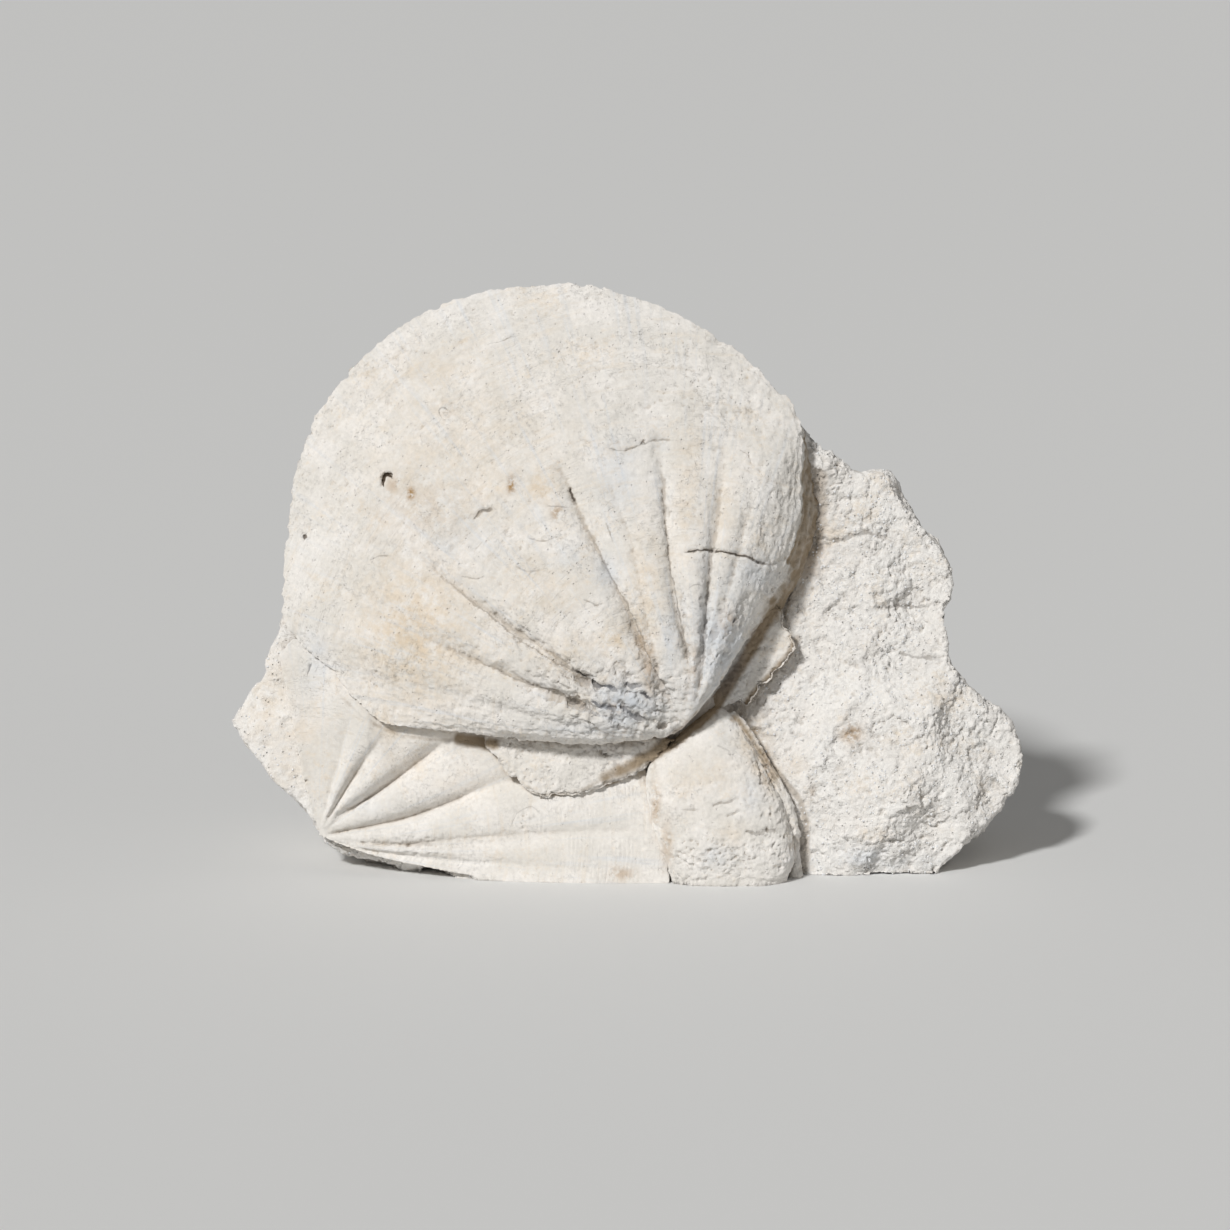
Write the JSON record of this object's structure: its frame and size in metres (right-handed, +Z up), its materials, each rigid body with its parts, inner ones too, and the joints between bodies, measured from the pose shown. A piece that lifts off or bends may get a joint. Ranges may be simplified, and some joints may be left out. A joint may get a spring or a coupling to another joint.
{
  "type": "fossil scallop shell in limestone matrix",
  "caption": "Large ribbed fossil scallop valve with ears, standing out of a broken chalky limestone block with a smaller scallop and an oyster; stands on its flat broken base.",
  "frame": {"origin": "middle of the bounding box, at the level of the flat broken base", "axes": "+X to the right as the fossils face the viewer, along the longest side; -Y out of the fossil face towards the viewer; +Z up"},
  "size_m": [0.2809, 0.1155, 0.2073],
  "materials": {
    "limestone": "matte",
    "large_scallop": "matte",
    "small_scallop": "matte",
    "oyster": "matte"
  },
  "bodies": {
    "root": {"limestone": "limestone", "large_scallop": "large_scallop", "small_scallop": "small_scallop", "oyster": "oyster"}
  },
  "joints": []
}
